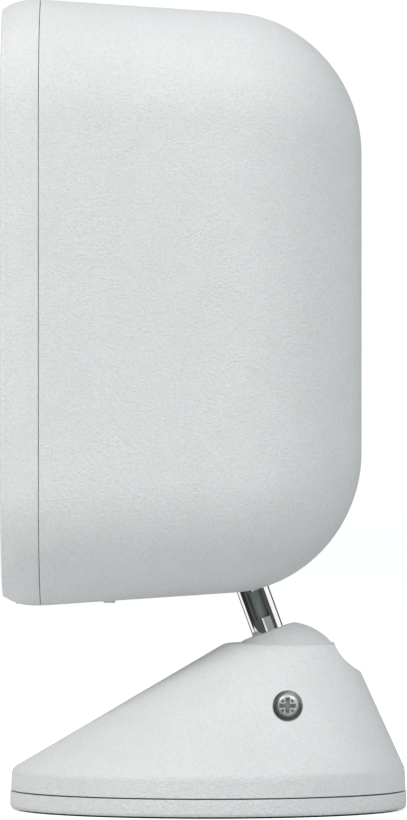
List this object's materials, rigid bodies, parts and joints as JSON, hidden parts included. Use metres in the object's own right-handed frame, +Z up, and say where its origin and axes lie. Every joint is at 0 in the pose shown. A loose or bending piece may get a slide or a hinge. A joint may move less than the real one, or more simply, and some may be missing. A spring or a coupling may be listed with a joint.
{
  "type": "video doorbell",
  "caption": "Video doorbell with a deep rounded head on a chrome ball-jointed stem and a round weighted wedge base.",
  "frame": {"origin": "middle of the base's round underside, on the surface that it stands on", "axes": "+Z up, the face looks along -Y, +X is the side with the clamp screw and the finger tab"},
  "size_m": [0.099, 0.1013, 0.202],
  "materials": {
    "shell_white": "moulded plastic with a fine leathery spark-eroded grain",
    "cover_white": "moulded plastic, the same grain, slightly finer",
    "seal_black": "soft black seal",
    "window_black": "polished smoked window",
    "black_plastic": "fine matt black",
    "lens_glass": "coated lens glass",
    "lamp_dark": "dark infrared epoxy",
    "motion_white": "translucent white polyethylene",
    "light_ring": "frosted light guide",
    "frame_grey": "plain moulded engineering plastic",
    "board_green": "solder mask",
    "contact_gold": "plated contacts",
    "insert_brass": "turned brass",
    "battery_blue": "shrink sleeve",
    "steel": "zinc-plated and stainless steel",
    "screw_steel": "nickel-plated steel",
    "chrome": "polished chrome plate",
    "bracket_metal": "die-cast",
    "lead_grey": "matt cable jacket",
    "pad_nylon": "nylon",
    "ballast_iron": "plain cast iron",
    "foot_rubber": "matt rubber"
  },
  "bodies": {
    "base": {"base_shell": "shell_white", "disc_springs": "steel", "socket_retainer": "frame_grey", "retainer_screws": "steel", "pressure_pad": "pad_nylon", "clamp_screw": "screw_steel", "clamp_nut": "steel", "ballast_weight": "ballast_iron", "base_plate": "shell_white", "mounting_inserts": "insert_brass", "base_screws": "steel", "rubber_foot": "foot_rubber"},
    "swivel_cup": {"socket_cup": "frame_grey"},
    "ball": {"ball": "shell_white"},
    "hatch": {"port_hatch": "shell_white"},
    "button": {"call_button": "cover_white"},
    "head": {"rear_housing": "shell_white", "front_cover": "cover_white", "housing_seal": "seal_black", "inner_frame": "frame_grey", "lens_window": "window_black", "lens_bezel": "black_plastic", "lens_glass": "lens_glass", "lens_barrel": "black_plastic", "image_sensor_board": "board_green", "lamp_board": "board_green", "infrared_lamps": "lamp_dark", "light_sensor": "black_plastic", "motion_lens": "motion_white", "motion_sensor": "steel", "light_ring": "light_ring", "button_switch": "black_plastic", "button_spring": "steel", "speaker_frame": "black_plastic", "speaker_cone": "black_plastic", "speaker_magnet": "steel", "speaker_grille": "black_plastic", "microphone": "steel", "microphone_boot": "seal_black", "main_board": "board_green", "board_chips": "black_plastic", "shield_can": "steel", "antenna": "contact_gold", "battery_cells": "battery_blue", "battery_cradle": "frame_grey", "battery_contacts": "contact_gold", "port_board": "board_green", "charging_socket": "steel", "hatch_pin": "steel", "housing_screws": "steel", "board_screws": "steel", "cover_screw": "steel", "stem_bracket": "bracket_metal", "bracket_screws": "steel", "stem_washer": "steel", "stem_nut": "steel", "stem": "chrome", "stem_lead": "lead_grey", "stem_retainer": "steel"}
  },
  "joints": [
    {"name": "pan", "type": "hinge", "parent": "base", "child": "swivel_cup", "pos_m": [0, 0.0195, 0.0318], "axis": [0, 0, 1], "range_deg": [-90, 90]},
    {"name": "tilt", "type": "hinge", "parent": "swivel_cup", "child": "ball", "pos_m": [0, 0.0195, 0.0318], "axis": [1, 0, 0], "range_deg": [-53.5, 13.5]},
    {"name": "turn", "type": "hinge", "parent": "ball", "child": "head", "pos_m": [0, 0.0195, 0.0318], "axis": [0, -0.342, 0.9397], "range_deg": [-45, 45]},
    {"name": "button_press", "type": "slide", "parent": "head", "child": "button", "axis": [0, 1, 0], "range_m": [0, 0.001], "stiffness_N_per_m": 1500, "springref_m": -0.0005, "deforming": ["button_spring"]},
    {"name": "hatch_swing", "type": "hinge", "parent": "head", "child": "hatch", "pos_m": [-0.00475, -0.0247, 0.05319], "axis": [0, 0.9977, 0.0671], "range_deg": [0, 95]}
  ]
}
